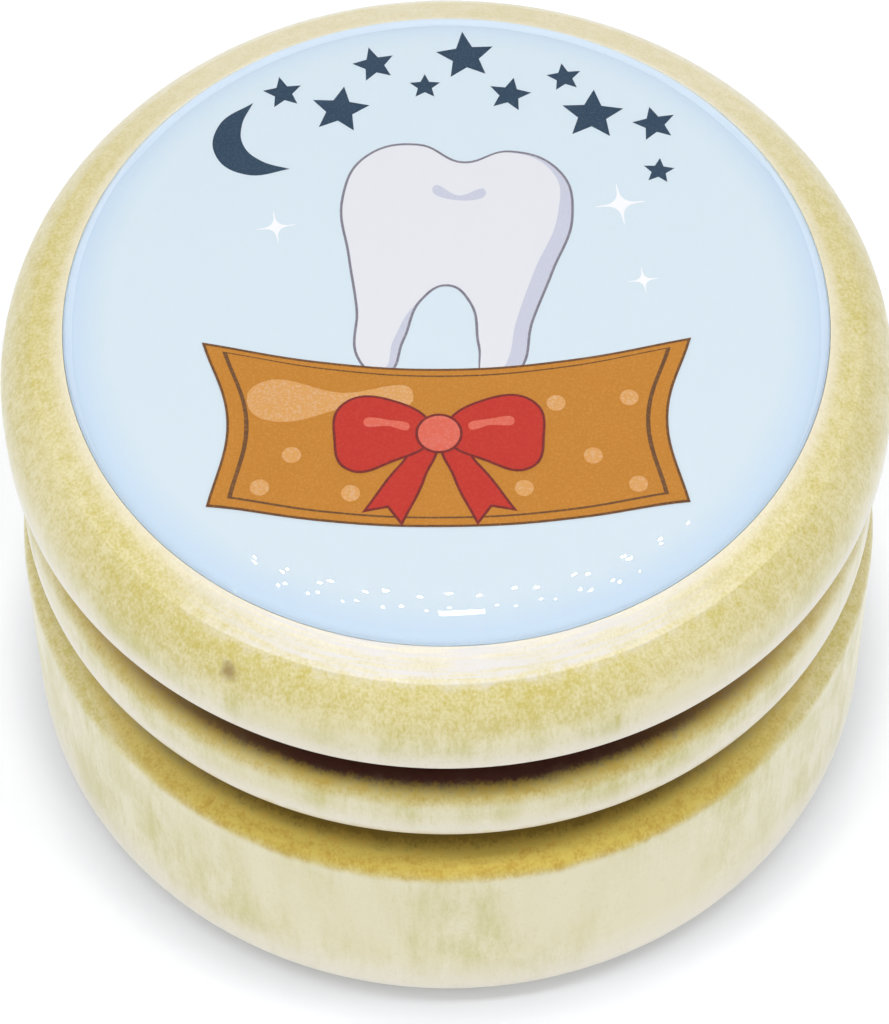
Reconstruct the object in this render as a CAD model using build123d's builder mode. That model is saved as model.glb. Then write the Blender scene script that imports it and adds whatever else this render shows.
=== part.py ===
from build123d import *

import math
import os

# Turned wooden tooth box: a cup with a neck, a push-on lid, and a domed picture let into the lid.
# Millimetres. +Z is up, and the origin is the centre of the flat foot that the box stands on.

# Driving size: the lid's outer radius. Every other radius steps in from it.
box_radius = 22.0

# Base, from the foot upwards
body_inset = 0.07  # the body's side lies this far inside the lid's
body_height = 13.8  # floor to the lower lip of the cove
foot_round = 2.5
cove_height = 3.5  # mouth of the cove between the body and the bead
cove_depth = 1.5
bead_inset = 0.4
bead_height = 4.2  # lower edge of the bead to the shoulder
bead_round = 1.7
slit_height = 2.8  # open gap between the shoulder and the lid's lower edge

# Neck and hollow of the base
lid_wall = 4.4  # wood between the lid's hollow and its side
fit_clearance = 0.08  # radial, between the neck and the lid's hollow
neck_wall = 2.0
floor_thickness = 4.0
floor_round = 1.0

# Lid
neck_engagement = 3.4  # how far the neck reaches up into the lid
lid_plate = 2.15  # wood between the lid's hollow and the recess for the picture
recess_depth = 0.4
rim_round = 4.2
rim_width = 3.25  # recess edge to the lid's side, in plan

# Domed picture, from the wood upwards
picture_clearance = 0.1  # radial, to the wall of the recess
adhesive_thickness = 0.2
print_thickness = 0.2
dome_setback = 0.05  # the resin stops this far inside the film's edge
dome_edge_radius = 3.7  # section radius of the resin's rounded edge
dome_edge_slope = 55.0  # degrees, where the resin meets the film
dome_crown_slope = 3.0  # degrees, where the rounded edge runs into the crown

# Small roundings left by sanding
lip_round = 0.3
neck_round = 0.4
recess_round = 0.1

# How near an edge must be to the radius and height by which it is picked
pick_reach = 0.02

# Radii, from the side inwards
body_radius = box_radius - body_inset
bead_radius = box_radius - bead_inset
hollow_radius = box_radius - lid_wall
neck_radius = hollow_radius - fit_clearance
bore_radius = neck_radius - neck_wall
recess_radius = box_radius - rim_width
picture_radius = recess_radius - picture_clearance
dome_radius = picture_radius - dome_setback

# Heights, from the foot upwards
bead_bottom = body_height + cove_height
shoulder = bead_bottom + bead_height
lid_edge = shoulder + slit_height
neck_top = lid_edge + neck_engagement
recess_floor = neck_top + lid_plate
lid_top = recess_floor + recess_depth
adhesive_top = recess_floor + adhesive_thickness
print_top = adhesive_top + print_thickness


def on_round(centre, radius, lean):
    """The point of a round section whose surface faces outwards, leaning up by lean degrees."""
    turn = math.radians(lean)
    return centre[0] + radius * math.cos(turn), centre[1] + radius * math.sin(turn)


def rings(part, radius):
    """The circular edges of a turned part at one radius, from the lowest up."""
    near = [e for e in part.edges().filter_by(GeomType.CIRCLE) if abs(e.radius - radius) < pick_reach]
    return ShapeList(near).sort_by(Axis.Z)


# Base: one turned outline outside, and a hollow bored down from the neck
foot_centre = (body_radius - foot_round, foot_round)
bead_centre = (bead_radius - bead_round, shoulder - bead_round)
cove_floor = (bead_radius - cove_depth, body_height + cove_height / 2)
with BuildPart() as base:
    with BuildSketch(Plane.XZ):
        with BuildLine():
            foot = ThreePointArc(
                on_round(foot_centre, foot_round, -90),
                on_round(foot_centre, foot_round, -45),
                on_round(foot_centre, foot_round, 0),
            )
            side = Line(foot @ 1, (body_radius, body_height))
            cove = ThreePointArc(side @ 1, cove_floor, (bead_radius, bead_bottom))
            bead_side = Line(cove @ 1, on_round(bead_centre, bead_round, 0))
            bead_top = ThreePointArc(
                bead_side @ 1,
                on_round(bead_centre, bead_round, 45),
                on_round(bead_centre, bead_round, 90),
            )
            Polyline(
                bead_top @ 1,
                (neck_radius, shoulder),
                (neck_radius, neck_top),
                (0, neck_top),
                (0, 0),
                foot @ 0,
            )
        make_face()
    revolve(axis=Axis.Z)
    with BuildSketch(Plane.XY.offset(floor_thickness)):
        Circle(bore_radius)
    extrude(amount=neck_top - floor_thickness, mode=Mode.SUBTRACT)
    fillet(rings(base, bore_radius)[0], floor_round)
    fillet([rings(base, bore_radius)[-1], rings(base, neck_radius)[-1]], neck_round)
    fillet([rings(base, body_radius)[-1], rings(base, bead_radius)[0]], lip_round)
base.part.label = "base"

# Lid: a disc with a rounded rim, hollowed below for the neck and recessed on top for the picture
with BuildPart() as lid:
    with BuildSketch(Plane.XY.offset(lid_edge)):
        Circle(box_radius)
    extrude(amount=lid_top - lid_edge)
    fillet(rings(lid, box_radius)[-1], rim_round)
    with BuildSketch(Plane.XY.offset(lid_edge)):
        Circle(hollow_radius)
    extrude(amount=neck_engagement, mode=Mode.SUBTRACT)
    with BuildSketch(Plane.XY.offset(recess_floor)):
        Circle(recess_radius)
    extrude(amount=recess_depth, mode=Mode.SUBTRACT)
    fillet([rings(lid, box_radius)[0], rings(lid, hollow_radius)[0]], lip_round)
    fillet(rings(lid, recess_radius)[-1], recess_round)
lid.part.label = "lid"

# Adhesive film that holds the picture in its recess
with BuildPart() as adhesive_film:
    with BuildSketch(Plane.XY.offset(recess_floor)):
        Circle(picture_radius)
    extrude(amount=adhesive_thickness)
adhesive_film.part.label = "adhesive_film"

# Printed disc
with BuildPart() as printed_disc:
    with BuildSketch(Plane.XY.offset(adhesive_top)):
        Circle(picture_radius)
    extrude(amount=print_thickness)
printed_disc.part.label = "printed_disc"

# Clear resin dome: a slightly crowned top that rolls over to meet the film at its edge
dome_lean = 90 - dome_edge_slope
crown_lean = 90 - dome_crown_slope
roll_foot = on_round((0, 0), dome_edge_radius, dome_lean)
roll_centre = (dome_radius - roll_foot[0], print_top - roll_foot[1])
crown_start = on_round(roll_centre, dome_edge_radius, crown_lean)
crown_radius = crown_start[0] / math.sin(math.radians(dome_crown_slope))
crown_centre = (0, crown_start[1] - crown_radius * math.cos(math.radians(dome_crown_slope)))
with BuildPart() as resin_dome:
    with BuildSketch(Plane.XZ):
        with BuildLine():
            roll = ThreePointArc(
                (dome_radius, print_top),
                on_round(roll_centre, dome_edge_radius, (dome_lean + crown_lean) / 2),
                crown_start,
            )
            crown = ThreePointArc(
                roll @ 1,
                on_round(crown_centre, crown_radius, (crown_lean + 90) / 2),
                on_round(crown_centre, crown_radius, 90),
            )
            Polyline(crown @ 1, (0, print_top), roll @ 0)
        make_face()
    revolve(axis=Axis.Z)
resin_dome.part.label = "resin_dome"

os.makedirs("parts", exist_ok=True)
for piece in (base, lid, adhesive_film, printed_disc, resin_dome):
    export_step(piece.part, f"parts/{piece.part.label}.step")
print(f"neck radius {neck_radius:.2f}, bore radius {bore_radius:.2f}, shoulder {shoulder:.2f}")
print(f"lid edge {lid_edge:.2f}, neck top {neck_top:.2f}, lid top {lid_top:.2f}")
print(f"picture radius {picture_radius:.2f}, height {resin_dome.part.bounding_box().max.Z:.2f}")
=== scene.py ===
import math
from collections import namedtuple

import bmesh
import bpy
from bpy.props import FloatProperty, FloatVectorProperty, IntProperty, PointerProperty
from bpy.types import Operator, Panel, PropertyGroup
from mathutils import Matrix, Vector, noise


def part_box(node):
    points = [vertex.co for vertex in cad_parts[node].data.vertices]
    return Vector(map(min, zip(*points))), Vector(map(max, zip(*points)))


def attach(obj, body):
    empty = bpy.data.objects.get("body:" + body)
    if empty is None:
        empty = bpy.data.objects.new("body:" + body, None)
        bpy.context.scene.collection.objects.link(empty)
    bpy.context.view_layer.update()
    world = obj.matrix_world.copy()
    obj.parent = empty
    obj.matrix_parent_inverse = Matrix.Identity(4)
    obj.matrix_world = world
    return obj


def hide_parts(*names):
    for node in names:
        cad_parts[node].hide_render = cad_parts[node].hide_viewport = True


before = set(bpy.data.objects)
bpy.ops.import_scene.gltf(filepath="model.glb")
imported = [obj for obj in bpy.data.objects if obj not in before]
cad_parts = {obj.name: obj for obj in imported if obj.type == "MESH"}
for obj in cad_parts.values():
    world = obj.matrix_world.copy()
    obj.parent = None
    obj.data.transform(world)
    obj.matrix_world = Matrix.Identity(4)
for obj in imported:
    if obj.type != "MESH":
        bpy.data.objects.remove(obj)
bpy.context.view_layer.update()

bl_info = {
    "name": "Baby Tooth Box",
    "version": (1, 0, 0),
    "blender": (4, 5, 0),
    "location": "View3D > Sidebar > Tooth Box",
    "description": "A turned wooden box for milk teeth, with a domed picture let into its lid",
    "category": "Object",
}

MM = 0.001

# The photograph's frame, and where the lens's axis meets it, in pixels
PHOTO_WIDTH, PHOTO_HEIGHT = 889, 1024
LENS_CENTRE = 448.23


def linear(hex_colour):
    """The linear colour of an sRGB hex value."""
    parts = (int(hex_colour[at : at + 2], 16) / 255 for at in (0, 2, 4))
    return tuple(v / 12.92 if v <= 0.04045 else ((v + 0.055) / 1.055) ** 2.4 for v in parts)


def size_of(name, text, default):
    """A length that a user may change."""
    return FloatProperty(name=name, description=text, default=default, min=0, precision=5, unit="LENGTH")


def colour_of(name, text, hex_colour):
    """A colour that a user may change."""
    return FloatVectorProperty(
        name=name, description=text, default=linear(hex_colour), min=0, max=1, subtype="COLOR"
    )


def angle_of(name, text, degrees):
    """An angle that a user may change."""
    return FloatProperty(name=name, description=text, default=math.radians(degrees), subtype="ANGLE")


class TurnedSizes(PropertyGroup):
    """Sizes of the turned wood that the frame doesn't give by itself"""

    foot_round: size_of("Foot rounding", "Radius where the side meets the foot", 2.5 * MM)
    body_height: size_of("Body height", "Floor to the lower lip of the cove", 13.8 * MM)
    cove_height: size_of("Cove height", "Mouth of the cove", 3.5 * MM)
    cove_depth: size_of("Cove depth", "Depth of the cove below the bead", 1.5 * MM)
    bead_inset: size_of("Bead inset", "How far the bead lies inside the lid's side", 0.4 * MM)
    bead_height: size_of("Bead height", "Lower edge of the bead to the shoulder", 4.2 * MM)
    bead_round: size_of("Bead rounding", "Radius of the bead's upper edge", 1.7 * MM)
    lip_round: size_of("Lip rounding", "Radius left on the turned edges by sanding", 0.3 * MM)
    cove_lip: size_of("Cove lip rounding", "Radius of the cove's lower lip, worn softer", 0.9 * MM)
    lid_wall: size_of("Lid wall", "Wood between the lid's hollow and its side", 4.4 * MM)
    fit_clearance: size_of("Fit clearance", "Radial room between the neck and the lid", 0.08 * MM)
    neck_wall: size_of("Neck wall", "Wood between the neck's side and the hollow", 2.0 * MM)
    neck_round: size_of("Neck rounding", "Radius of the neck's two upper edges", 0.4 * MM)
    floor_thickness: size_of("Floor", "Wood under the hollow", 4.0 * MM)
    floor_round: size_of("Floor rounding", "Radius in the corner of the hollow", 1.0 * MM)
    rim_round: size_of("Rim rounding", "Radius of the lid's upper edge", 4.2 * MM)
    facet_width: size_of("Facet width", "Flat that the tool left on the rim, next to the picture", 1.6 * MM)
    picture_gap: size_of("Picture gap", "Room between the picture and the wall of its recess", 0.02 * MM)
    recess_round: size_of("Recess rounding", "Radius of the recess's edge", 0.04 * MM)
    tool_pitch: size_of("Tool mark pitch", "Distance between the rings left by the gouge", 0.3 * MM)
    tool_depth: size_of("Tool mark depth", "Depth of the rings left by the gouge", 0.01 * MM)
    torn_depth: size_of("Torn fibre depth", "How far fibre has broken out of the cove's lip", 0.1 * MM)
    torn_length: size_of("Torn fibre length", "Length of one break along the lip", 0.9 * MM)
    steps: IntProperty(name="Steps round", description="Flats round each turned piece", default=288, min=24)


class WoodLook(PropertyGroup):
    """Colours and grain of the lacquered wood"""

    side_pale: colour_of("Side grain, pale", "Wood cut along its fibres", "F3EAC0")
    side_deep: colour_of("Side grain, deep", "Patches in the side grain", "D5CA6C")
    end_pale: colour_of("End grain, pale", "Wood cut across its fibres", "EFE5B8")
    end_deep: colour_of("End grain, deep", "Fibre ends that drank more lacquer", "D2C25E")
    # Pale bands at lower edges and on the rim's facet: painted light, partly lacquer sanded thin
    rubbed_and_lit: colour_of("Rubbed edge", "Wood whose lacquer was sanded thin", "FAF2E0")
    # A painted highlight on the front of the rim's facet
    worn: colour_of("Worn facet", "Wood at the front of the rim, rubbed dull", "DEDAD6")
    pooled: colour_of("Pooled lacquer", "Lacquer that gathered in the turning", "D8C25C")
    pooled_brown: colour_of("Pooled lacquer, brown", "Where it gathered most", "C29A3C")
    # The bottom of the cove: painted shade, darkest at the front of the box
    cove_shade_front: colour_of("Cove, front", "Lacquer at the bottom of the cove", "6E5602")
    cove_shade_side: colour_of("Cove, sides", "The same lacquer away from the front", "A08640")
    # The bead under the lid: painted shade, darkest at the front of the box
    slit_shade_front: colour_of("Slit, front", "Bead that drank lacquer under the lid", "3A0E04")
    slit_shade_side: colour_of("Slit, sides", "The same wood away from the front", "C8A050")
    knot: colour_of("Pin knot", "Small knot in the rim", "8E6C2C")
    ring_spacing: size_of("Annual ring spacing", "Distance between annual rings", 2.1 * MM)


class PictureLook(PropertyGroup):
    """Colours and sizes of the printed picture and its resin"""

    field: colour_of("Field", "Light blue ground of the print", "D4E3EC")
    # Painted: the ground drawn bluer near the edge stands in for the resin's effect on light there; the ink
    # is even
    field_edge: colour_of("Field, edge", "The ground where the resin is thin", "C6DCF0")
    white: colour_of("White", "White ink", "E3E3E8")
    glint: colour_of("Glint", "White ink, two passes", "F6F7FB")
    shade: colour_of("Shade", "Shading on white shapes", "C6C8D8")
    line: colour_of("Fine line", "Thin outline round the pale shapes", "77727F")
    brown: colour_of("Brown", "Brown ink", "BC7A1C")
    tan: colour_of("Tan", "Lighter brown ink", "D69A50")
    umber: colour_of("Umber", "Outline of the brown shapes", "5E3A1C")
    red: colour_of("Red", "Red ink", "B92515")
    rose: colour_of("Rose", "Lighter red ink", "D8604A")
    maroon: colour_of("Maroon", "Outline of the red shapes", "6A1A16")
    navy: colour_of("Navy", "Dark blue ink", "17334A")
    ink: size_of("Ink thickness", "Height of one layer of ink", 0.008 * MM)
    outline: size_of("Outline width", "Width of the fine outlines", 0.13 * MM)
    dome_steps: IntProperty(name="Dome steps round", description="Flats round the resin", default=576, min=24)
    dome_edge_radius: size_of("Dome edge radius", "Section radius of the resin's edge", 3.7 * MM)
    dome_edge_slope: angle_of("Dome edge slope", "Slope of the resin where it meets the film", 55)
    dome_crown_slope: angle_of("Dome crown slope", "Slope where the edge runs into the crown", 3)


class StageSizes(PropertyGroup):
    """The camera and the lamps of a small white light box with an open front"""

    camera_distance: size_of("Camera distance", "Camera to the point that it looks at", 241.73 * MM)
    camera_aim: size_of("Camera aim", "Height of the point that the camera looks at", 12.88 * MM)
    camera_elevation: angle_of("Camera elevation", "Angle above the floor", 56.94)
    camera_roll: angle_of("Camera roll", "Turn about the view", -0.577)
    lens: size_of("Lens", "Focal length on a 36 mm frame", 164.26 * MM)
    lamp_height: size_of("Lamp height", "Floor to the rows of small lamps", 300 * MM)
    box_width: size_of("Light box width", "Wall to wall", 560 * MM)


def add(tree, kind, inputs=(), out=0, **options):
    """Adds a shader node with its settings, and gives back one of its outputs. The kind may be
    followed by the node's operation. The inputs are listed in the node's own order or given by name
    or number, each a value or a socket to link."""
    kind, *operation = kind.split()
    made = tree.nodes.new("ShaderNode" + kind)
    if operation:
        made.operation = operation[0]
    for name, value in options.items():
        setattr(made, name, value)
    for key, value in inputs.items() if isinstance(inputs, dict) else enumerate(inputs):
        socket = made.inputs[key]
        if isinstance(value, bpy.types.NodeSocket):
            tree.links.new(value, socket)
        else:
            socket.default_value = (*value, 1.0) if socket.type == "RGBA" else value
    return made.outputs[out] if made.outputs else None


# Inputs of the colour mix, which share their names with others of that node
MIX_A, MIX_B = 6, 7
# Settings that many nodes share: a mix of colours, and a smooth run from one value to another. A Map
# Range node lists its value, the range that the value runs through and the range that comes out.
COLOURS = {"out": 2, "data_type": "RGBA"}
SMOOTH = {"interpolation_type": "SMOOTHSTEP"}


def blank_material(name):
    """A material without nodes, and its node tree."""
    made = bpy.data.materials.new(name)
    made.use_nodes = True
    made.node_tree.nodes.clear()
    return made, made.node_tree


# Noises of the wood in millimetres: width, length up the grain, detail and roughness
WOOD_NOISES = {
    "streaks": (0.32, 3.2, 3.0, 0.6),
    "patches": (2.2, 6.0, 4.0, 0.6),
    "clouds": (7.0, 18.0, 1.0, 0.5),
    "mottle": (0.65, 1.0, 2.0, 0.6),
    # Fibre ends and pores are about 0.05 mm, drawn three times as coarse so that they show
    "pores": (0.15, 0.35, 2.0, 0.7),
}

# Width of one mark of the turning, and how softly a pool of lacquer ends
MARK_WIDTH, EDGE = 0.22 * MM, 0.6 * MM

# Lacquer that gathered in the turning, with painted shade where it's deep: the heights and the softness of
# its edges, the radius that it stays outside of, the radii where it is shallow and deep, and the colour of
# its painted shade in front and at the sides
PoolAndShade = namedtuple("PoolAndShade", "low high soft inner shallow deep front side")


def lacquered_wood(name, wood, pith, rubbed_and_lit, pools_and_shade=(), facet=None, knot=None):
    """Lime wood, turned with its fibres upright, sanded and lacquered: pale side grain with faint
    upright patches, yellower end grain wherever a surface faces up, and a satin gloss over both.
    rubbed lists the heights between which the wood grows paler towards a lower edge: painted light from
    below, partly lacquer sanded thin. Each entry of pools is lacquer that gathered in the turning, ochre
    where that is shallow, with painted shade where it's deep, darkest at the front of the box. facet gives
    the radii of the rim's flat, which carries a painted highlight and a painted reflection, and knot the
    place of a small knot."""
    made, tree = blank_material(name)
    place = add(tree, "TexCoord", out="Object")
    facing = add(tree, "TexCoord", out="Normal")
    up = add(tree, "SeparateXYZ", [facing], "Z")
    height = add(tree, "SeparateXYZ", [place], "Z")
    level = add(tree, "VectorMath MULTIPLY", [place, (1, 1, 0)])
    radius = add(tree, "VectorMath LENGTH", [level], "Value")

    # Each blank has its own stretch of the noises
    shift = [1000 * at for at in pith]
    noises = {}
    for kind, (width, length, detail, roughness) in WOOD_NOISES.items():
        scale = (1 / (width * MM), 1 / (width * MM), 1 / (length * MM))
        stretched = add(tree, "Mapping", {"Vector": place, "Location": shift, "Scale": scale})
        noises[kind] = add(
            tree, "TexNoise", {"Vector": stretched, "Scale": 1.0, "Detail": detail, "Roughness": roughness}
        )
    streaks, patches, clouds, mottle, pores = noises.values()

    # Marks of the turning: noise that is long round the axis and short across it
    round_axis = add(tree, "VectorMath NORMALIZE", [level])
    long_way = add(tree, "VectorMath SCALE", {0: round_axis, "Scale": 6.0})
    across = add(tree, "Math SUBTRACT", [radius, height])
    across = add(tree, "Math MULTIPLY", [across, 1 / MARK_WIDTH])
    short_way = add(tree, "CombineXYZ", {"Z": across})
    marks_at = add(tree, "VectorMath ADD", [long_way, short_way])
    marks = add(tree, "TexNoise", {"Vector": marks_at, "Scale": 1.0, "Detail": 2.0})
    # -1 at the front of the box, and 1 at its back
    behind = add(tree, "SeparateXYZ", [round_axis], "Y")

    # Annual rings, as shells about the pith of the tree, which lies outside the blank
    centred = add(tree, "Mapping", {"Vector": level, "Location": (pith[0], pith[1], 0)})
    reach = add(tree, "VectorMath LENGTH", [centred], "Value")
    warp = add(tree, "Math MULTIPLY", [patches, 5.0])
    waves = add(tree, "Math MULTIPLY_ADD", [reach, math.tau / wood.ring_spacing, warp])
    rings = add(tree, "Math SINE", [waves])

    # Side grain
    amount = add(tree, "MapRange", [patches, 0.36, 0.70], **SMOOTH)
    streaky = add(tree, "MapRange", [streaks, 0.4, 0.75, 0, 0.4], **SMOOTH)
    amount = add(tree, "Math ADD", [amount, streaky])
    amount = add(tree, "Math MULTIPLY_ADD", [rings, 0.08, amount])
    speckle = add(tree, "MapRange", [pores, 0, 1, -0.5, 0.5])
    amount = add(tree, "Math ADD", [amount, speckle])
    cloudy = add(tree, "MapRange", [clouds, 0.25, 0.6], **SMOOTH)
    amount = add(tree, "Math MULTIPLY", [amount, cloudy])
    side = add(tree, "Mix", {0: amount, MIX_A: wood.side_pale, MIX_B: wood.side_deep}, **COLOURS)

    # End grain
    amount = add(tree, "Math MULTIPLY", [clouds, 0.5])
    for pattern, weight in ((mottle, 0.75), (pores, 1.1), (marks, 0.2)):
        amount = add(tree, "Math MULTIPLY_ADD", [pattern, weight, amount])
    amount = add(tree, "MapRange", [amount, 0.8, 1.76], **SMOOTH)
    end = add(tree, "Mix", {0: amount, MIX_A: wood.end_pale, MIX_B: wood.end_deep}, **COLOURS)

    # The change from side to end grain is ragged, because single fibres end there
    ragged = add(tree, "Math MULTIPLY_ADD", [mottle, 0.28, up])
    turning = add(tree, "MapRange", [ragged, 0.22, 0.62], **SMOOTH)
    colour = add(tree, "Mix", {0: turning, MIX_A: side, MIX_B: end}, **COLOURS)

    # Paler towards a lower edge: painted light from below, partly lacquer sanded thin
    for start, full, last in rubbed_and_lit:
        thin = add(tree, "MapRange", [mottle, 0, 1, 0.72, 1.0])
        for band_end in (start, last):
            near = add(tree, "MapRange", [height, band_end, full], **SMOOTH)
            thin = add(tree, "Math MULTIPLY", [thin, near])
        colour = add(tree, "Mix", {0: thin, MIX_A: colour, MIX_B: wood.rubbed_and_lit}, **COLOURS)

    # The rim's facet: a painted highlight where it meets the picture, a painted reflection at the back, and a
    # grey-white painted highlight at the front, where the rings of the tool show through
    if facet is not None:
        inner, band, outer = facet
        on_top = add(tree, "MapRange", [up, 0.2, 0.6], **SMOOTH)
        pale = add(tree, "MapRange", [radius, band, inner, 0, 0.65], **SMOOTH)
        back = add(tree, "MapRange", [behind, 0.2, 0.9, 0, 0.45], **SMOOTH)
        pale = add(tree, "Math MAXIMUM", [pale, back])
        pale = add(tree, "Math MULTIPLY", [pale, on_top])
        colour = add(tree, "Mix", {0: pale, MIX_A: colour, MIX_B: wood.rubbed_and_lit}, **COLOURS)
        # At the front: the grey-white painted highlight
        worn = add(tree, "MapRange", [behind, -0.66, -0.985], **SMOOTH)
        border = add(tree, "Math MULTIPLY_ADD", [mottle, 0.9 * MM, radius])
        flat = add(tree, "MapRange", [border, outer + 0.85 * MM, outer], **SMOOTH)
        ringed = add(tree, "MapRange", [marks, 0.4, 0.57, 0.45])
        for part in (flat, on_top, ringed):
            worn = add(tree, "Math MULTIPLY", [worn, part])
        colour = add(tree, "Mix", {0: worn, MIX_A: colour, MIX_B: wood.worn}, **COLOURS)

    specks = add(tree, "MapRange", [pores, 0.55, 0.8, 0, 0.25], **SMOOTH)
    colour = add(tree, "Mix", {0: specks, MIX_A: colour, MIX_B: wood.end_deep}, **COLOURS)

    roughness = add(tree, "MapRange", [mottle, 0, 1, 0.38, 0.58])
    gloss = 1.0
    if pools_and_shade:
        # The edge of the lacquer and of its painted shade wanders up and down. Its noises add 0.5 mm on
        # average, taken off again
        wandering = add(tree, "Math MULTIPLY_ADD", [patches, 0.7 * MM, height])
        wandering = add(tree, "Math MULTIPLY_ADD", [mottle, 0.3 * MM, wandering])
        wandering = add(tree, "Math SUBTRACT", [wandering, 0.5 * MM])
        grain = add(tree, "Math ADD", [pores, mottle])
        depth = add(tree, "Math MULTIPLY_ADD", [grain, 0.45 * MM, -0.45 * MM])
        depth = add(tree, "Math ADD", [radius, depth])
        brown = add(tree, "MapRange", [grain, 0.8, 1.35, 0, 0.8], **SMOOTH)
        ochre = add(tree, "Mix", {0: brown, MIX_A: wood.pooled, MIX_B: wood.pooled_brown}, **COLOURS)
        # Painted shade: the deep tint is darkest at the front of the box
        front = add(tree, "MapRange", [behind, -0.4, -0.98], **SMOOTH)
        # At the front the lacquer and its painted shade also cover the shallow turning, and at the sides only
        # the deep
        spread = add(tree, "MapRange", [behind, -0.35, -0.92], **SMOOTH)
        strength = add(tree, "MapRange", [spread, 0, 1, 0.45, 1.0])
        reached = add(tree, "Math MULTIPLY_ADD", [spread, -1.5 * MM, depth])
    # Ochre lacquer where the turning is shallow, and painted shade where it's deep
    for pool_and_shade in pools_and_shade:
        lacquer_and_shade = strength
        for value, dry, full in (
            (wandering, pool_and_shade.low, pool_and_shade.low + pool_and_shade.soft),
            (wandering, pool_and_shade.high, pool_and_shade.high - pool_and_shade.soft),
            (radius, pool_and_shade.inner, pool_and_shade.inner + EDGE),
            (reached, pool_and_shade.shallow, pool_and_shade.shallow - EDGE),
        ):
            within = add(tree, "MapRange", [value, dry, full], **SMOOTH)
            lacquer_and_shade = add(tree, "Math MULTIPLY", [lacquer_and_shade, within])
        deep = add(tree, "MapRange", [depth, pool_and_shade.shallow, pool_and_shade.deep], **SMOOTH)
        dark = add(tree, "Mix", {0: front, MIX_A: pool_and_shade.side, MIX_B: pool_and_shade.front}, **COLOURS)
        tint = add(tree, "Mix", {0: deep, MIX_A: ochre, MIX_B: dark}, **COLOURS)
        colour = add(tree, "Mix", {0: lacquer_and_shade, MIX_A: colour, MIX_B: tint}, **COLOURS)
        roughness = add(tree, "Math MULTIPLY_ADD", [lacquer_and_shade, 0.35, roughness])
        gloss = add(tree, "Math SUBTRACT", [gloss, lacquer_and_shade], use_clamp=True)

    if knot is not None:
        gap = add(tree, "VectorMath DISTANCE", [place, knot], "Value")
        ragged = add(tree, "Math MULTIPLY_ADD", [mottle, 1.3 * MM, gap])
        dark = add(tree, "MapRange", [ragged, 1.38 * MM, 0.65 * MM, 0, 0.75], **SMOOTH)
        colour = add(tree, "Mix", {0: dark, MIX_A: colour, MIX_B: wood.knot}, **COLOURS)

    relief = add(tree, "Math ADD", [pores, streaks])
    relief = add(tree, "Math MULTIPLY_ADD", [marks, 1.6, relief])
    bump = add(tree, "Bump", {"Height": relief, "Distance": 0.006 * MM, "Strength": 0.6})
    shader = add(
        tree,
        "BsdfPrincipled",
        {
            "Base Color": colour,
            "Roughness": roughness,
            "IOR": 1.5,
            "Coat Weight": gloss,
            "Coat Roughness": 0.42,
            "Coat IOR": 1.55,
            "Sheen Weight": 0.25,
            "Sheen Roughness": 0.4,
            "Normal": bump,
        },
    )
    add(tree, "OutputMaterial", {"Surface": shader})
    return made


def acrylic_foam():
    """White acrylic foam tape, die cut: a matt, faintly pitted edge that shows as a thin grey-pink line."""
    made, tree = blank_material("acrylic foam tape, die cut")
    place = add(tree, "TexCoord", out="Object")
    cells = add(tree, "TexNoise", {"Vector": place, "Scale": 1 / (0.12 * MM), "Detail": 2.0})
    pale, grey = linear("D8CCC4"), linear("B9A9A0")
    colour = add(tree, "Mix", {0: cells, MIX_A: grey, MIX_B: pale}, **COLOURS)
    bump = add(tree, "Bump", {"Height": cells, "Distance": 0.02 * MM, "Strength": 0.5})
    shader = add(tree, "BsdfPrincipled", {"Base Color": colour, "Roughness": 0.75, "Normal": bump})
    add(tree, "OutputMaterial", {"Surface": shader})
    return made


def ink(name, colour, light, dither, edge=None):
    """Ink-jet ink on vinyl film: an even colour broken up by the fine dither of its droplets.
    edge gives the colour at the film's edge, and the radii between which it comes in."""
    made, tree = blank_material("ink-jet ink, " + name)
    place = add(tree, "TexCoord", out="Object")
    # Droplets are about 0.04 mm, drawn three times as coarse so that they show
    fine, coarse = 1 / (0.13 * MM), 1 / (0.9 * MM)
    drops = add(tree, "TexNoise", {"Vector": place, "Scale": fine, "Detail": 2.0, "Roughness": 0.7})
    bands = add(tree, "TexNoise", {"Vector": place, "Scale": coarse, "Detail": 2.0, "Roughness": 0.6})
    ground = colour
    if edge is not None:
        rim_colour, start, full = edge
        level = add(tree, "VectorMath MULTIPLY", [place, (1, 1, 0)])
        away = add(tree, "VectorMath LENGTH", [level], "Value")
        near = add(tree, "MapRange", [away, start, full], **SMOOTH)
        ground = add(tree, "Mix", {0: near, MIX_A: ground, MIX_B: rim_colour}, **COLOURS)
    amount = add(tree, "MapRange", [drops, 0.42, 0.74, 0, dither], **SMOOTH)
    uneven = add(tree, "MapRange", [bands, 0, 1, -0.2 * dither, 0.2 * dither])
    amount = add(tree, "Math ADD", [amount, uneven])
    mixed = add(tree, "Mix", {0: amount, MIX_A: ground, MIX_B: light}, **COLOURS)
    relief = add(tree, "Bump", {"Height": drops, "Distance": 0.004 * MM, "Strength": 0.3})
    shader = add(tree, "BsdfPrincipled", {"Base Color": mixed, "Roughness": 0.6, "Normal": relief})
    add(tree, "OutputMaterial", {"Surface": shader})
    return made


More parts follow.
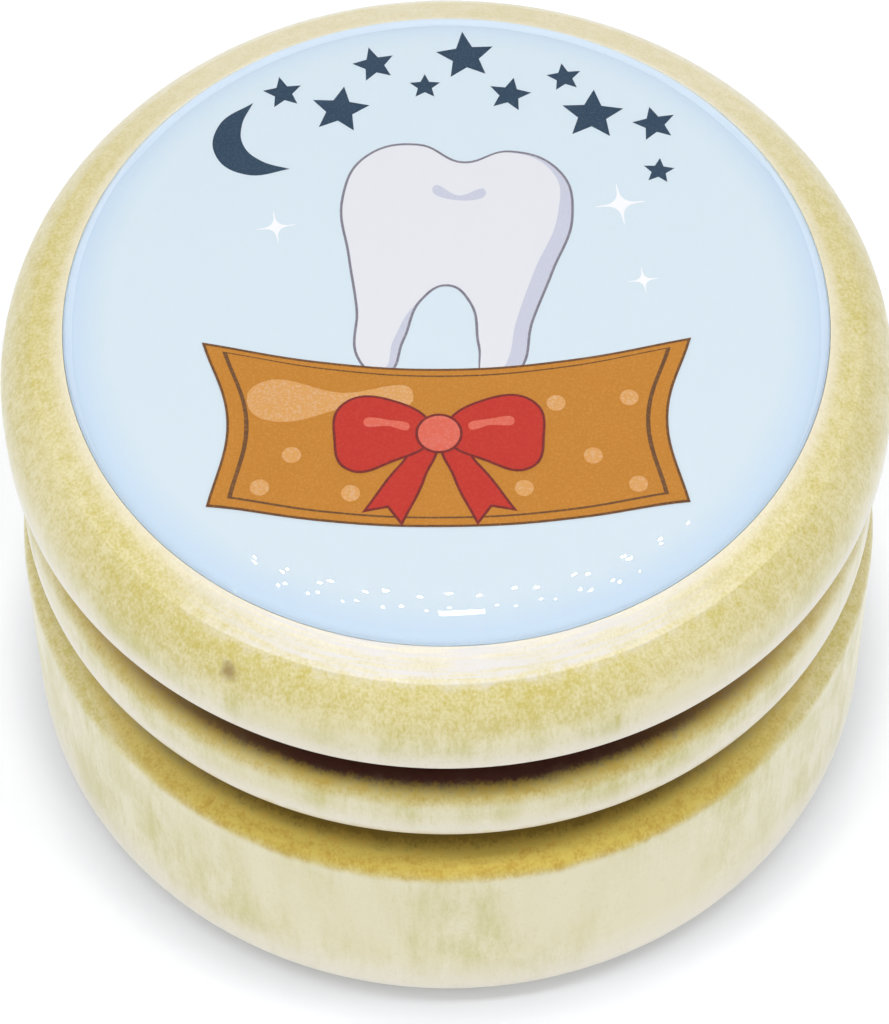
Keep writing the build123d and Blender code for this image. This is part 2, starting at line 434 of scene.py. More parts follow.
def doming_resin():
    """Polyurethane doming resin, poured and cured: water clear, glossy, and lit through."""
    made, tree = blank_material("polyurethane doming resin, cured")
    clear = add(
        tree,
        "BsdfPrincipled",
        {"Base Color": linear("FBFDFF"), "Roughness": 0.02, "IOR": 1.5, "Transmission Weight": 1.0},
    )
    passing = add(tree, "BsdfTransparent")
    shadow = add(tree, "LightPath", out="Is Shadow Ray")
    diffuse = add(tree, "LightPath", out="Is Diffuse Ray")
    either = add(tree, "Math MAXIMUM", [shadow, diffuse])
    mixed = add(tree, "MixShader", [either, clear, passing])
    add(tree, "OutputMaterial", {"Surface": mixed})
    return made


def bonded_face():
    """The underside of the resin, wetted to the print: no gap, so it doesn't show."""
    made, tree = blank_material("doming resin, bonded face")
    add(tree, "OutputMaterial", {"Surface": add(tree, "BsdfTransparent")})
    return made


class Outline:
    """Half of a turned section: (radius, height) points in the order that a gouge would follow."""

    def __init__(self, start):
        self.points = [Vector(start)]

    def line(self, end, step):
        """A straight run to end, with points about step apart."""
        start, end = self.points[-1].copy(), Vector(end)
        count = max(1, round((end - start).length / step))
        self.points += [start.lerp(end, at / count) for at in range(1, count + 1)]

    def arc(self, centre, radius, first, last, step):
        """A round run about centre between two angles in degrees, 0 facing outwards and 90 up."""
        span = math.radians(last - first)
        count = max(2, round(abs(span) * radius / step))
        self.line(on_circle(centre, radius, first), step)
        for at in range(1, count + 1):
            self.points.append(on_circle(centre, radius, first + (last - first) * at / count))


def on_circle(centre, radius, angle):
    """The point of a circle at an angle in degrees, 0 facing outwards and 90 up."""
    turn = math.radians(angle)
    return Vector((centre[0] + radius * math.cos(turn), centre[1] + radius * math.sin(turn)))


def angle_from(centre, point):
    """The angle in degrees at which centre sees point, 0 facing outwards and 90 up."""
    return math.degrees(math.atan2(point[1] - centre[1], point[0] - centre[0]))


def circle_through(first, middle, last):
    """The centre and radius of the circle through three points."""
    (ax, ay), (bx, by), (cx, cy) = first, middle, last
    spread = 2 * (ax * (by - cy) + bx * (cy - ay) + cx * (ay - by))
    a, b, c = ax * ax + ay * ay, bx * bx + by * by, cx * cx + cy * cy
    centre = Vector(
        (
            (a * (by - cy) + b * (cy - ay) + c * (ay - by)) / spread,
            (a * (cx - bx) + b * (ax - cx) + c * (bx - ax)) / spread,
        )
    )
    return centre, (centre - Vector(first)).length


# How often a spun wedge is doubled to close the turn, and how near points must be to merge
DOUBLINGS = 4
MERGE = 0.0005 * MM


def tool_marked(points, turn, seed):
    """The outline with the shallow rings of a gouge cut into it, never proud of it."""
    marked, travelled = [points[0]], 0.0
    for before, here, after in zip(points, points[1:], points[2:]):
        travelled += (here - before).length
        along = after - before
        if along.length == 0 or min(before.x, here.x) <= 0:
            marked.append(here)
            continue
        outwards = Vector((along.y, -along.x)).normalized()
        wave = noise.noise(Vector((travelled / turn.tool_pitch, seed, 0.5)))
        marked.append(here - outwards * turn.tool_depth * (0.5 + 0.5 * wave))
    return marked + [points[-1]]


def order_faces(bm):
    """Puts the faces in order by their lowest corners, because that order can differ between runs."""
    bm.verts.index_update()
    count = len(bm.verts)

    def by_corners(face):
        first, second, third = sorted(vert.index for vert in face.verts)[:3]
        return (first * count + second) * count + third

    bm.faces.sort(key=by_corners)


def turned(name, points, steps, shape=None):
    """A closed turned piece, spun about the vertical axis from its outline. One wedge is spun,
    then doubled round the axis until it closes, which is far quicker than one full spin."""
    bm = bmesh.new()
    corners = [bm.verts.new((point.x, 0, point.y)) for point in points]
    edges = [bm.edges.new(pair) for pair in zip(corners, corners[1:])]
    wedge = math.tau / 2**DOUBLINGS
    bmesh.ops.spin(
        bm,
        geom=corners + edges,
        cent=(0, 0, 0),
        axis=(0, 0, 1),
        dvec=(0, 0, 0),
        angle=wedge,
        steps=max(1, round(steps / 2**DOUBLINGS)),
        use_merge=False,
        use_duplicate=False,
    )
    for doubling in range(DOUBLINGS):
        copy = bmesh.ops.duplicate(bm, geom=bm.verts[:] + bm.edges[:] + bm.faces[:])["geom"]
        bmesh.ops.rotate(
            bm,
            cent=(0, 0, 0),
            matrix=Matrix.Rotation(wedge * 2**doubling, 3, "Z"),
            verts=[part for part in copy if isinstance(part, bmesh.types.BMVert)],
        )
    bmesh.ops.remove_doubles(bm, verts=bm.verts, dist=MERGE)
    bmesh.ops.recalc_face_normals(bm, faces=bm.faces)
    if shape is not None:
        shape(bm)
    order_faces(bm)
    return finished(name, bm)


def settled(points, start, rounds):
    """The outline after surface tension has evened out the points from start on."""
    for _ in range(rounds):
        threes = zip(points[start - 1 :], points[start:], points[start + 1 :])
        moved = [(a + 2 * b + c) / 4 for a, b, c in threes]
        points = points[:start] + moved + points[-1:]
    return points


def finished(name, bm, smooth=True):
    """The object for a mesh that is done."""
    mesh = bpy.data.meshes.new(name)
    bm.to_mesh(mesh)
    bm.free()
    if smooth:
        mesh.shade_smooth()
    made = bpy.data.objects.new(name, mesh)
    bpy.context.scene.collection.objects.link(made)
    return made


def base_outline(turn):
    """The base's outline, from the foot's centre round the outside to the hollow's centre."""
    low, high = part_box("base")
    side, top = high.x, high.z
    lid_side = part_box("lid")[1].x
    bead_side = lid_side - turn.bead_inset
    bead_bottom = turn.body_height + turn.cove_height
    shoulder = bead_bottom + turn.bead_height
    neck = lid_side - turn.lid_wall - turn.fit_clearance
    bore = neck - turn.neck_wall
    fine, plain, coarse = 0.13 * MM, 0.3 * MM, 0.9 * MM

    cove_middle = (bead_side - turn.cove_depth, turn.body_height + turn.cove_height / 2)
    cove, cove_radius = circle_through((side, turn.body_height), cove_middle, (bead_side, bead_bottom))

    def lip(edge, rounding, above):
        """The centre of the rounding that joins the cove to the side at radius edge."""
        across, reach = edge - rounding, cove_radius + rounding
        return Vector((across, cove.y + above * math.sqrt(reach**2 - (across - cove.x) ** 2)))

    lower, upper = lip(side, turn.cove_lip, -1), lip(bead_side, turn.lip_round, 1)
    outline = Outline((0, low.z))
    foot = (side - turn.foot_round, turn.foot_round)
    outline.line((foot[0], low.z), coarse)
    outline.arc(foot, turn.foot_round, -90, 0, fine)
    outline.arc(lower, turn.cove_lip, 0, angle_from(lower, cove), fine / 2)
    inner = angle_from(cove, lower), angle_from(cove, upper)
    outline.arc(cove, cove_radius, inner[0] % 360, inner[1] % 360, fine)
    outline.arc(upper, turn.lip_round, angle_from(upper, cove) % 360 - 360, 0, fine / 2)
    bead = (bead_side - turn.bead_round, shoulder - turn.bead_round)
    outline.arc(bead, turn.bead_round, 0, 90, fine)
    outline.line((neck, shoulder), plain)
    outline.arc((neck - turn.neck_round, top - turn.neck_round), turn.neck_round, 0, 90, fine)
    outline.arc((bore + turn.neck_round, top - turn.neck_round), turn.neck_round, 90, 180, fine)
    corner = (bore - turn.floor_round, turn.floor_thickness + turn.floor_round)
    outline.line((bore, corner[1]), plain * 2)
    outline.arc(corner, turn.floor_round, 360, 270, fine * 2)
    outline.line((0, turn.floor_thickness), coarse)
    return outline.points


def lid_outline(turn):
    """The lid's outline, from the hollow's centre round the outside to the recess's centre."""
    low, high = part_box("lid")
    side, edge = high.x, low.z
    neck_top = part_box("base")[1].z
    recess_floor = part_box("adhesive_film")[0].z
    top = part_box("printed_disc")[1].z
    hollow = side - turn.lid_wall
    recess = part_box("printed_disc")[1].x + turn.picture_gap
    lip, soft = turn.lip_round, turn.recess_round
    fine, plain, coarse = 0.075 * MM, 0.3 * MM, 0.9 * MM

    outline = Outline((0, neck_top))
    outline.line((hollow, neck_top), coarse)
    outline.arc((hollow + lip, edge + lip), lip, 180, 270, fine)
    outline.arc((side - lip, edge + lip), lip, 270, 360, fine)
    rim = Vector((side - turn.rim_round, top - turn.rim_round))
    inner = recess + soft
    turned_to = math.degrees(math.acos((inner + turn.facet_width - rim.x) / turn.rim_round))
    outline.arc(rim, turn.rim_round, 0, turned_to, fine)
    # The facet is the straight chord of the rounding, and a small round joins it to the recess
    start, crest = outline.points[-1], math.degrees(math.acos((inner - rim.x) / turn.rim_round))
    end = on_circle(rim, turn.rim_round, crest)
    slope = math.atan2(end.y - start.y, start.x - end.x)
    edge_centre = (inner, end.y - soft / math.cos(slope))
    outline.arc(edge_centre, soft, 90 - math.degrees(slope), 180, fine / 4)
    outline.line((recess, recess_floor), plain)
    outline.line((0, recess_floor), coarse)
    return outline.points


def tear_lip(turn):
    """A function that breaks fibre out of the lower lip of the cove, here and there."""
    lip_height = turn.body_height
    reach = 0.35 * MM
    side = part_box("base")[1].x

    def tear(bm):
        for vert in bm.verts:
            away = abs(vert.co.z - lip_height)
            outwards = Vector((vert.co.x, vert.co.y, 0))
            if away > reach or outwards.length < side - reach:
                continue
            spot = outwards.normalized() * (side / turn.torn_length)
            broken = max(0.0, noise.fractal(spot, 1.0, 2.1, 3) + 0.05)
            outwards.normalize()
            vert.co -= (outwards * 0.5 + Vector((0, 0, 1))) * turn.torn_depth * broken * (1 - away / reach)

    return tear


def dress(piece, material, body, replaced=None):
    """Gives a piece its material, parents it to the body that it rides on, and hides the part it replaces."""
    piece.data.materials.clear()
    piece.data.materials.append(material)
    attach(piece, body)
    if replaced:
        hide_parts(replaced)


class TOOTHBOX_OT_turn_base(Operator):
    """Turn the base: foot, side, cove, bead, neck and hollow"""

    bl_idname = "tooth_box.turn_base"
    bl_label = "Turn the base"

    def execute(self, context):
        turn, wood = context.scene.tooth_box_turned, context.scene.tooth_box_wood
        points = tool_marked(base_outline(turn), turn, seed=3.7)
        piece = turned("turned_base", points, turn.steps, tear_lip(turn))
        bead_bottom = turn.body_height + turn.cove_height
        shoulder = bead_bottom + turn.bead_height
        bead_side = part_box("lid")[1].x - turn.bead_inset
        cove_floor = bead_side - turn.cove_depth
        bead_crown = bead_side - turn.bead_round
        lip, lid_edge = turn.lip_round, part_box("lid")[0].z
        # Paler towards the foot and the bead's lower edge: painted light from below, partly lacquer sanded
        # thin
        rubbed_and_lit = [
            (0.42 * turn.body_height, 0.12 * turn.body_height, -turn.body_height),
            (bead_bottom + 0.5 * turn.bead_height, bead_bottom + lip / 2, bead_bottom - lip),
        ]
        # The cove and the bead under the lid: ochre lacquer where shallow, painted shade where deep
        pools_and_shade = [
            PoolAndShade(
                turn.body_height - 1.0 * MM, bead_bottom + 0.6 * MM, 0.9 * MM,
                cove_floor - 1.0 * MM, cove_floor + 0.95 * MM, cove_floor + 0.15 * MM,
                wood.cove_shade_front, wood.cove_shade_side,
            ),
            PoolAndShade(
                shoulder - 1.9 * MM, lid_edge + 1.2 * MM, 1.7 * MM,
                bead_crown - 0.6 * MM, bead_crown + 1.6 * MM, bead_crown + 0.85 * MM,
                wood.slit_shade_front, wood.slit_shade_side,
            ),
        ]
        pith = (61 * MM, 34 * MM, 0)
        material = lacquered_wood("lime wood, turned and lacquered, base", wood, pith, rubbed_and_lit, pools_and_shade)
        dress(piece, material, "box", "base")
        return {"FINISHED"}


class TOOTHBOX_OT_turn_lid(Operator):
    """Turn the lid: rounded rim, hollow and recess"""

    bl_idname = "tooth_box.turn_lid"
    bl_label = "Turn the lid"

    def execute(self, context):
        turn, wood = context.scene.tooth_box_turned, context.scene.tooth_box_wood
        points = tool_marked(lid_outline(turn), turn, seed=9.2)
        piece = turned("turned_lid", points, turn.steps)
        knot = (-10.33 * MM, -18.77 * MM, 28.17 * MM)
        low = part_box("lid")[0]
        # Paler towards the lid's lower edge: painted light from below, partly lacquer sanded thin
        rubbed_and_lit = [(low.z + 1.9 * MM, low.z + turn.lip_round, low.z - turn.lip_round)]
        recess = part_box("printed_disc")[1].x + turn.picture_gap
        # The facet carries a painted highlight and a painted reflection
        facet = (recess, recess + 0.9 * MM, recess + turn.recess_round + turn.facet_width)
        pith = (-48 * MM, 57 * MM, 13 * MM)
        material = lacquered_wood(
            "lime wood, turned and lacquered, lid", wood, pith, rubbed_and_lit, facet=facet, knot=knot
        )
        dress(piece, material, "cover", "lid")
        return {"FINISHED"}


class TOOTHBOX_OT_lay_film(Operator):
    """Finish the film that holds the picture in its recess"""

    bl_idname = "tooth_box.lay_film"
    bl_label = "Lay the adhesive film"

    def execute(self, context):
        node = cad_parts["adhesive_film"]
        node.data.materials.clear()
        node.data.materials.append(acrylic_foam())
        return {"FINISHED"}


# How many layers of ink the picture has, one over the other
INK_LAYERS = 12


def ink_film(name, outlines, layer, material, grow=0.0):
    """A film of ink on its layer of the print, bounded by closed outlines. An outline runs smoothly
    through its points, given in millimetres, and has a corner at each point that ends in True."""
    picture = bpy.context.scene.tooth_box_picture
    curve = bpy.data.curves.new(name, "CURVE")
    curve.dimensions = "2D"
    curve.fill_mode = "BOTH"
    curve.extrude = picture.ink / 2
    curve.offset = grow
    curve.resolution_u = 10
    for points in outlines:
        spline = curve.splines.new("BEZIER")
        spline.bezier_points.add(len(points) - 1)
        spline.use_cyclic_u = True
        for knot, (x, y, *corner) in zip(spline.bezier_points, points):
            knot.co = (x * MM, y * MM, 0)
        for knot, (x, y, *corner) in zip(spline.bezier_points, points):
            knot.handle_left_type = knot.handle_right_type = "VECTOR" if corner else "AUTO"
    drawn = bpy.data.objects.new(name + " outline", curve)
    bpy.context.scene.collection.objects.link(drawn)
    bpy.context.view_layer.update()
    mesh = bpy.data.meshes.new_from_object(drawn.evaluated_get(bpy.context.evaluated_depsgraph_get()))
    bpy.data.objects.remove(drawn)
    bpy.data.curves.remove(curve)
    bm = bmesh.new()
    bm.from_mesh(mesh)
    bpy.data.meshes.remove(mesh)
    bmesh.ops.remove_doubles(bm, verts=bm.verts, dist=MERGE / 5)
    bmesh.ops.recalc_face_normals(bm, faces=bm.faces)
    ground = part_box("printed_disc")[1].z - INK_LAYERS * picture.ink
    bmesh.ops.translate(bm, verts=bm.verts, vec=(0, 0, ground + (layer - 0.5) * picture.ink))
    dress(finished(name, bm, smooth=False), material, "cover")


def mirrored(half):
    """A closed outline from the half of it that lies right of the middle, top to bottom."""
    left = [(-x, *rest) for x, *rest in reversed(half) if x > 0]
    return half + left


def placed(points, centre, turn=0.0, scale=1.0):
    """An outline turned by an angle in degrees, scaled, and moved to its centre."""
    across, along = scale * math.cos(math.radians(turn)), scale * math.sin(math.radians(turn))
    return [
        (centre[0] + x * across - y * along, centre[1] + x * along + y * across, *corner)
        for x, y, *corner in points
    ]


def star(centre, size, turn):
    """A five-pointed star, drawn by its points and the notches between them."""
    reach = [size if at % 2 == 0 else size * 0.46 for at in range(10)]
    points = [(*on_circle((0, 0), reach[at], 90 + 36 * at), True) for at in range(10)]
    return placed(points, centre, turn)


def round_spot(centre, radius):
    """A round spot."""
    return placed([(1, 0), (0, 1), (-1, 0), (0, -1)], centre, scale=radius)


# The picture's motifs, in millimetres from the middle of the disc
TOOTH_CENTRE = (0.3, 3.3)
TOOTH = mirrored(
    [(0, 5.5), (2.3, 6.4), (4.7, 5.5), (5.6, 2.9), (4.9, -0.7), (4.2, -3.7), (3.7, -6.8), (2.6, -7.4),
     (1.9, -5.4), (1.2, -2.8), (0, -1.9)]
)
TOOTH_LIT = [
    (0, 5.5), (2.3, 6.4), (4.5, 5.35), (4.95, 2.8), (4.1, -0.7), (3.5, -3.7), (3.1, -6.6), (2.5, -7.3),
    (1.9, -5.4), (1.2, -2.8), (0, -1.9), (-1.5, -3.3), (-2.3, -5.4), (-2.8, -7.3), (-3.7, -6.8), (-4.2, -3.7),
    (-4.9, -0.7), (-5.6, 2.9), (-4.7, 5.5), (-2.3, 6.4),
]
TOOTH_DIP = [(-1.3, 3.9), (0, 3.2), (1.3, 3.9), (0, 3.5)]
CUSHION = [
    (-11.6, -2.0, True), (-6.0, -3.2), (0, -3.7), (6.0, -3.2), (11.6, -2.0, True), (10.4, -6.4),
    (11.2, -11.0, True), (6.0, -12.0), (0, -12.4), (-6.0, -12.0), (-11.2, -11.0, True), (-10.4, -6.4),
]
CUSHION_MIDDLE = (0, -7.5)
CUSHION_LIGHT = [(-9.2, -4.4), (-5.0, -4.9), (-1.6, -5.1), (-4.6, -5.7), (-8.6, -6.4), (-9.5, -5.6)]
BOW_LOOP = [(0.4, 0), (2.4, 1.9), (4.5, 1.7), (4.9, -0.2), (4.3, -1.9), (2.3, -1.5)]
BOW_TAIL = [(0.45, -0.5), (1.8, -1.8), (3.4, -4.2, True), (2.4, -4.0, True), (1.8, -4.9, True), (0.75, -2.4)]
BOW_FOLD = [(1.4, 0.35), (2.4, 0.8), (3.6, 0.7), (2.4, 0.45)]
BOW_CENTRE = (-0.4, -7.3)
MOON = [
    (0.9, 2.3, True), (-1.2, 1.7), (-2.1, 0), (-1.2, -1.7), (0.9, -2.3, True), (-0.2, -1.2), (-0.6, 0),
    (-0.2, 1.2),
]
MOON_PLACE = (-9.4, 10.3)
# Angle round the disc, distance from its middle, size and turn of each star
STARS = (
    (121, 15.6, 1.0, 10), (113, 13.3, 1.5, -8), (103, 15.5, 1.1, 14), (94, 13.7, 0.8, 0), (86, 15.6, 1.5, 6),
    (76, 13.5, 1.1, -12), (67, 15.4, 0.9, 8), (58, 13.9, 1.6, -4), (47, 15.3, 1.1, 12), (38, 13.4, 0.8, -6),
)
SPOTS = (
    (-7.4, -8.4), (-4.6, -10.6), (3.6, -10.4), (6.9, -8.6), (8.7, -5.3), (5.2, -5.6), (-8.9, -10.2),
    (9.0, -10.2),
)
SPARKS = ((8.6, 6.2, 1.3), (-8.3, 5.0, 1.0), (9.6, 1.6, 0.8))
SPARK = [
    (0, 1, True), (0.2, 0.2), (1, 0, True), (0.2, -0.2), (0, -1, True), (-0.2, -0.2), (-1, 0, True),
    (-0.2, 0.2),
]


class TOOTHBOX_OT_print_picture(Operator):
    """Print the picture: a tooth on a cushion under a row of stars, on a light blue field"""

    bl_idname = "tooth_box.print_picture"
    bl_label = "Print the picture"

    def execute(self, context):
        turn, picture = context.scene.tooth_box_turned, context.scene.tooth_box_picture
        low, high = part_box("printed_disc")
        top = high.z - INK_LAYERS * picture.ink
        outline = Outline((0, low.z))
        outline.line((high.x, low.z), 0.9 * MM)
        outline.line((high.x, top), 0.1 * MM)
        outline.line((0, top), 0.9 * MM)
        piece = turned("picture_field", outline.points, turn.steps)
        # Painted: the bluer edge stands in for the resin's effect on light there
        edge = (picture.field_edge, high.x - 2.6 * MM, high.x - 0.4 * MM)
        blue = ink("light blue", picture.field, picture.white, 0.3, edge)
        dress(piece, blue, "cover", "printed_disc")

        white = ink("white", picture.white, picture.field, 0.1)
        shade = ink("lilac grey", picture.shade, picture.white, 0.25)
        line = ink("grey line", picture.line, picture.shade, 0.3)
        brown = ink("brown", picture.brown, picture.tan, 0.3)
        tan = ink("tan", picture.tan, picture.white, 0.2)
        umber = ink("umber line", picture.umber, picture.brown, 0.3)
        red = ink("red", picture.red, picture.rose, 0.15)
        rose = ink("rose", picture.rose, picture.white, 0.1)
        maroon = ink("maroon line", picture.maroon, picture.red, 0.3)
        navy = ink("navy", picture.navy, picture.field, 0.04)
        grow = picture.outline

        stars = [star(on_circle((0, 0), away, at), size, angle) for at, away, size, angle in STARS]
        ink_film("printed_stars", stars + [placed(MOON, MOON_PLACE, 24)], 1, navy)
        sparks = [placed(SPARK, (x, y), 8, size) for x, y, size in SPARKS]
        ink_film("printed_sparks", sparks, 1, ink("bright white", picture.glint, picture.white, 0.1))
        tooth, lit, dip = (placed(shape, TOOTH_CENTRE, -6) for shape in (TOOTH, TOOTH_LIT, TOOTH_DIP))
        ink_film("printed_tooth_line", [tooth], 1, line, grow)
        ink_film("printed_tooth_shade", [tooth], 2, shade)
        ink_film("printed_tooth", [lit], 3, white)
        ink_film("printed_tooth_dip", [dip], 4, shade)
        ink_film("printed_cushion_line", [CUSHION], 4, umber, grow)
        ink_film("printed_cushion", [CUSHION], 5, brown)
        insets = (0.93, 0.91)
        across, along = CUSHION_MIDDLE
        piping = [[(x * s, along + (y - along) * s, *corner) for x, y, *corner in CUSHION] for s in insets]
        ink_film("printed_piping", piping, 6, umber)
        spots = [round_spot(spot, 0.45) for spot in SPOTS]
        ink_film("printed_cushion_light", [CUSHION_LIGHT] + spots, 6, tan)
        # The bow is built up from its tails to its knot, each shape over its own dark line
        tails, loops, folds = (
            [placed([(x * side, *rest) for x, *rest in shape], BOW_CENTRE) for side in (1, -1)]
            for shape in (BOW_TAIL, BOW_LOOP, BOW_FOLD)
        )
        for part, pair, layer in (("tails", tails, 7), ("loops", loops, 9)):
            ink_film(f"printed_bow_{part}_line", pair, layer, maroon, grow)
            ink_film(f"printed_bow_{part}", pair, layer + 1, red)
        ink_film("printed_bow_folds", folds, 11, rose)
        ink_film("printed_bow_knot_line", [round_spot(BOW_CENTRE, 1.0)], 11, maroon, grow)
        ink_film("printed_bow_knot", [round_spot(BOW_CENTRE, 1.0)], 12, rose)
        return {"FINISHED"}


class TOOTHBOX_OT_pour_resin(Operator):
    """Pour the clear resin over the picture"""

    bl_idname = "tooth_box.pour_resin"
    bl_label = "Pour the resin"

    def execute(self, context):
        picture = context.scene.tooth_box_picture
        low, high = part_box("resin_dome")
        edge, radius = high.x, picture.dome_edge_radius
        bottom = low.z + 0.002 * MM
        lean = 90 - math.degrees(picture.dome_edge_slope)
        crown = 90 - math.degrees(picture.dome_crown_slope)
        centre = Vector((edge, low.z)) - on_circle((0, 0), radius, lean)
        start = on_circle(centre, radius, crown)
        crown_radius = start.x / math.sin(picture.dome_crown_slope)
        crown_centre = (0, start.y - crown_radius * math.cos(picture.dome_crown_slope))
        outline = Outline((0, bottom))
        outline.line((edge, bottom), 0.9 * MM)
        flat = len(outline.points)
        fine = 0.1 * MM
        outline.arc(centre, radius, lean, crown, fine)
        outline.arc(crown_centre, crown_radius, crown, 90, fine)
        # The resin is held at its edge, and settles from there on
        held, rounds = 9, 90
        points = settled(outline.points, flat + held, rounds)
        # The crown is nearly flat, so beyond the part that settled it needs fewer points
        kept = flat + round((radius + 2 * MM) / fine)
        piece = turned("clear_dome", points[:kept] + points[kept:-1:4] + points[-1:], picture.dome_steps)
        dress(piece, doming_resin(), "cover", "resin_dome")
        piece.data.materials.append(bonded_face())
        for face in piece.data.polygons:
            if face.normal.z < -0.9:
                face.material_index = 1
        return {"FINISHED"}


def area_lamp(name, place, aim, width, depth, radiance, along=(0, 0, 1), shape="RECTANGLE"):
    """A lamp of even brightness, where a brightness of 1 is white. Its depth runs along a direction."""
    light = bpy.data.lights.new(name, "AREA")
    light.shape = shape
    light.size = width
    light.size_y = depth
    area = width * depth if shape == "RECTANGLE" else math.pi / 4 * width * depth
    light.energy = radiance * math.pi * area
    back = (Vector(place) - Vector(aim)).normalized()
    across = Vector(along).cross(back).normalized()
    made = bpy.data.objects.new(name, light)
    turn = Matrix((across, back.cross(across), back)).transposed()
    made.matrix_world = Matrix.Translation(place) @ turn.to_4x4()
    bpy.context.scene.collection.objects.link(made)
    return made


# The two strips of small lamps: name, depth, half the gap between its rows, pitch along a row, tilt
# of the strip in plan, and radiance. Millimetres, in front of the box where negative.
STRIPS = (
    ("front", -146, 9, 41, 0.0, 95.0),
    ("middle", -52, 12, 37.5, 0.1, 326.0),
)


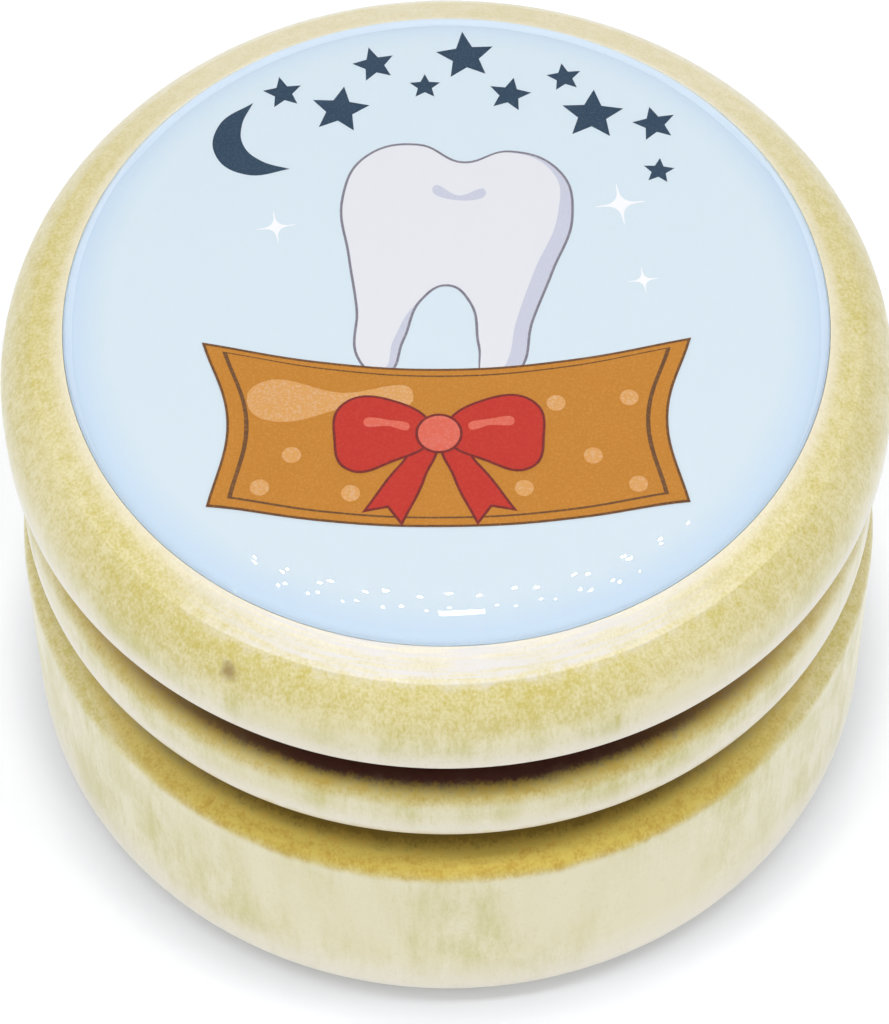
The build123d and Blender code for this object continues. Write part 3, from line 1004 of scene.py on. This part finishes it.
class TOOTHBOX_OT_set_stage(Operator):
    """Set the floor, the light box and the camera"""

    bl_idname = "tooth_box.set_stage"
    bl_label = "Set the stage"

    def execute(self, context):
        stage = context.scene.tooth_box_stage
        bm = bmesh.new()
        bmesh.ops.create_grid(bm, x_segments=8, y_segments=8, size=0.9)
        floor = finished("floor", bm, smooth=False)
        made, tree = blank_material("white card floor")
        place = add(tree, "TexCoord", out="Object")
        grain = add(tree, "TexNoise", {"Vector": place, "Scale": 1 / (0.3 * MM), "Detail": 2.0})
        pale, grey = linear("EFF1F4"), linear("E9EBEE")
        tone = add(tree, "Mix", {0: grain, MIX_A: grey, MIX_B: pale}, **COLOURS)
        # Where it's seen the card is greyer and glows a little, more away from the box: the ground comes out
        # white, and the weaker glow near the box paints a soft shadow round it over the real one, which stays
        seen = add(tree, "LightPath", out="Is Camera Ray")
        for kind in ("Is Glossy Ray", "Is Transmission Ray"):
            seen = add(tree, "Math MAXIMUM", [seen, add(tree, "LightPath", out=kind)])
        away = add(tree, "VectorMath LENGTH", [place], "Value")
        lift = add(tree, "MapRange", [away, 20.5 * MM, 25 * MM, 0.27, 0.6], **SMOOTH)
        lift = add(tree, "Math MULTIPLY", [lift, seen])
        shown = linear("B2B5BA")
        tone = add(tree, "Mix", {0: seen, MIX_A: tone, MIX_B: shown}, **COLOURS)
        matt = add(tree, "BsdfDiffuse", {"Color": tone})
        glow = add(tree, "Emission", {"Strength": lift})
        add(tree, "OutputMaterial", {"Surface": add(tree, "AddShader", [matt, glow])})
        floor.data.materials.append(made)

        half, top = stage.box_width / 2, stage.lamp_height
        middle = (0, 0, 20 * MM)
        area_lamp("ceiling", (0, -0.06, top + 0.02), (0, -0.06, 0), 2 * half, 0.70, 0.11)
        panels = (
            ("back panel", (0, 0.08, top + 0.01), middle, 0.44, 0.12, 0.9),
            ("front card", (0, -half, 0.06), (0, 0, 0.03), 2 * half, 0.12, 0.95),
            ("left wall", (-half, 0, top / 2), (0, 0, top / 2), 0.55, top, 0.6),
            ("right wall", (half, 0, top / 2), (0, 0, top / 2), 0.55, top, 0.47),
            ("back wall", (0, half, 0.12), (0, 0, 0.12), 0.56, 0.24, 1.1),
        )
        # Their straight edges would show in the resin, so they are left out of all reflections
        for panel in panels:
            area_lamp(*panel).visible_glossy = False
        to_camera = Vector((0, -math.cos(stage.camera_elevation), math.sin(stage.camera_elevation)))
        for strip, depth, gap, pitch, tilt, radiance in STRIPS:
            for row in (0, 1):
                for at in range(10):
                    x = (at - 4.5 + row / 2) * pitch
                    y = depth + (row * 2 - 1) * gap + x * tilt
                    spot = Vector((x * MM, y * MM, top))
                    # The dome squeezes a lamp's image towards its middle. Each lamp is drawn longer that
                    # way, so that it shows as the round dot that its glare makes
                    mirror = (spot - Vector(middle)).normalized() + to_camera
                    squeezed = (mirror.x, mirror.y, 0)
                    name = f"{strip} lamp {row}{at}"
                    area_lamp(name, spot, middle, 3 * MM, 11 * MM, radiance, squeezed, "ELLIPSE")
        area_lamp("bar lamp", (12 * MM, -170 * MM, top), middle, 44 * MM, 26 * MM, 15.0)

        world = bpy.data.worlds.new("light box")
        context.scene.world = world
        world.use_nodes = True
        tree = world.node_tree
        tree.nodes.clear()
        seen = add(tree, "LightPath", out="Is Camera Ray")
        strength = add(tree, "MapRange", [seen, 0, 1, 0.02, 1.0])
        light = add(tree, "Background", {"Color": (1, 1, 1), "Strength": strength})
        add(tree, "OutputWorld", {"Surface": light})
        context.scene.view_settings.view_transform = "Standard"

        lens = bpy.data.cameras.new("camera")
        lens.lens = stage.lens / MM
        lens.sensor_width = 36.0
        lens.shift_x = (PHOTO_WIDTH / 2 - LENS_CENTRE) / PHOTO_HEIGHT
        lens.clip_start, lens.clip_end = 0.01, 10.0
        camera = bpy.data.objects.new("camera", lens)
        context.scene.collection.objects.link(camera)
        turn = Matrix.Rotation(stage.camera_roll, 3, to_camera)
        right = turn @ Vector((1, 0, 0))
        above = turn @ to_camera.cross(Vector((1, 0, 0)))
        place = Vector((0, 0, stage.camera_aim)) + to_camera * stage.camera_distance
        axes = Matrix((right, above, to_camera)).transposed()
        camera.matrix_world = Matrix.Translation(place) @ axes.to_4x4()
        context.scene.camera = camera
        return {"FINISHED"}


class TOOTHBOX_PT_panel(Panel):
    """The steps that make the box"""

    bl_label = "Tooth Box"
    bl_idname = "TOOTHBOX_PT_panel"
    bl_space_type = "VIEW_3D"
    bl_region_type = "UI"
    bl_category = "Tooth Box"

    def draw(self, context):
        for step in STEPS:
            self.layout.operator(step.bl_idname)


STEPS = (
    TOOTHBOX_OT_turn_base,
    TOOTHBOX_OT_turn_lid,
    TOOTHBOX_OT_lay_film,
    TOOTHBOX_OT_print_picture,
    TOOTHBOX_OT_pour_resin,
    TOOTHBOX_OT_set_stage,
)
GROUPS = {
    "tooth_box_turned": TurnedSizes,
    "tooth_box_wood": WoodLook,
    "tooth_box_picture": PictureLook,
    "tooth_box_stage": StageSizes,
}


def register():
    for cls in (*GROUPS.values(), *STEPS, TOOTHBOX_PT_panel):
        bpy.utils.register_class(cls)
    for name, group in GROUPS.items():
        setattr(bpy.types.Scene, name, PointerProperty(type=group))


def unregister():
    for name in GROUPS:
        delattr(bpy.types.Scene, name)
    for cls in (TOOTHBOX_PT_panel, *STEPS, *GROUPS.values()):
        bpy.utils.unregister_class(cls)


def main():
    register()
    bpy.ops.tooth_box.turn_base()
    bpy.ops.tooth_box.turn_lid()
    bpy.ops.tooth_box.lay_film()
    bpy.ops.tooth_box.print_picture()
    bpy.ops.tooth_box.pour_resin()
    bpy.ops.tooth_box.set_stage()


if __name__ == "__main__":
    main()
